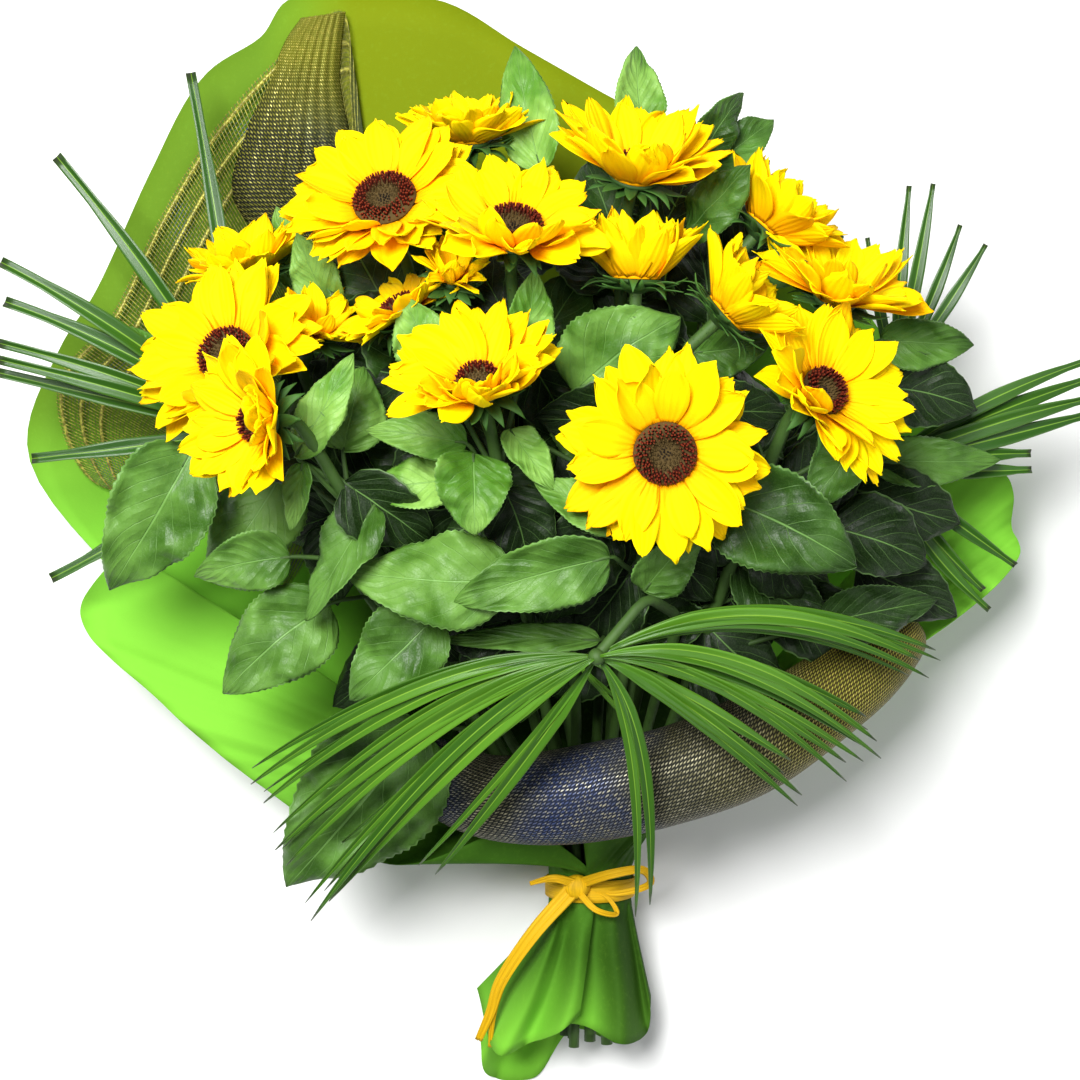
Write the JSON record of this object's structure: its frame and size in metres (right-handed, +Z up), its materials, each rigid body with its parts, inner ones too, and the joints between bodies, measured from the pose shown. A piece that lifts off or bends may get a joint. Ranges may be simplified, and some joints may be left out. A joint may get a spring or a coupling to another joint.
{
  "type": "bunch of sunflowers",
  "caption": "Hand-tied florist's bunch of sunflowers with palm fronds, in a gathered green wrap and woven mesh, tied at the waist with a flat ribbon and lying on its back.",
  "frame": {"origin": "middle of the bunch's footprint on the surface it lies on", "axes": "+X across the bunch to the right as seen from above, +Y from the cut stem ends to the heads, +Z up from the surface towards the faces of the flowers"},
  "size_m": [0.6872, 0.7345, 0.3129],
  "materials": {
    "petal": "satin ray petals",
    "floret_disc": "matt, velvety florets",
    "leafy_stem": "satin, hairy leaf",
    "palm_frond": "glossy leaf",
    "wrap": "matt non-woven sheet",
    "woven_mesh": "woven dark, blue and gold threads",
    "ribbon": "flat fibrous ribbon"
  },
  "bodies": {
    "root": {"front_right_disc": "floret_disc", "front_middle_disc": "floret_disc", "top_left_disc": "floret_disc", "top_middle_disc": "floret_disc", "top_back_disc": "floret_disc", "top_right_disc": "floret_disc", "left_back_disc": "floret_disc", "left_front_disc": "floret_disc", "left_top_disc": "floret_disc", "middle_small_disc": "floret_disc", "centre_side_disc": "floret_disc", "centre_right_disc": "floret_disc", "upper_right_disc": "floret_disc", "right_back_disc": "floret_disc", "right_front_disc": "floret_disc", "front_right_petals": "petal", "front_middle_petals": "petal", "top_left_petals": "petal", "top_middle_petals": "petal", "top_back_petals": "petal", "top_right_petals": "petal", "left_back_petals": "petal", "left_front_petals": "petal", "left_top_petals": "petal", "left_small_petals": "petal", "middle_small_petals": "petal", "middle_bud_petals": "petal", "centre_side_petals": "petal", "centre_right_petals": "petal", "upper_right_petals": "petal", "right_back_petals": "petal", "right_front_petals": "petal", "palm_front_fan": "palm_frond", "palm_feather": "palm_frond", "palm_left_fan": "palm_frond", "palm_right_fan": "palm_frond", "palm_right_blades": "palm_frond", "front_right_stem": "leafy_stem", "front_middle_stem": "leafy_stem", "top_left_stem": "leafy_stem", "top_middle_stem": "leafy_stem", "top_back_stem": "leafy_stem", "top_right_stem": "leafy_stem", "left_back_stem": "leafy_stem", "left_front_stem": "leafy_stem", "left_top_stem": "leafy_stem", "left_small_stem": "leafy_stem", "middle_small_stem": "leafy_stem", "middle_bud_stem": "leafy_stem", "centre_side_stem": "leafy_stem", "centre_right_stem": "leafy_stem", "upper_right_stem": "leafy_stem", "right_back_stem": "leafy_stem", "right_front_stem": "leafy_stem", "mesh_roll": "woven_mesh", "ribbon_tie": "ribbon", "wrap_back_sheet": "wrap", "wrap_left_panel": "wrap", "wrap_right_panel": "wrap", "mesh_sheet": "woven_mesh"}
  },
  "joints": []
}
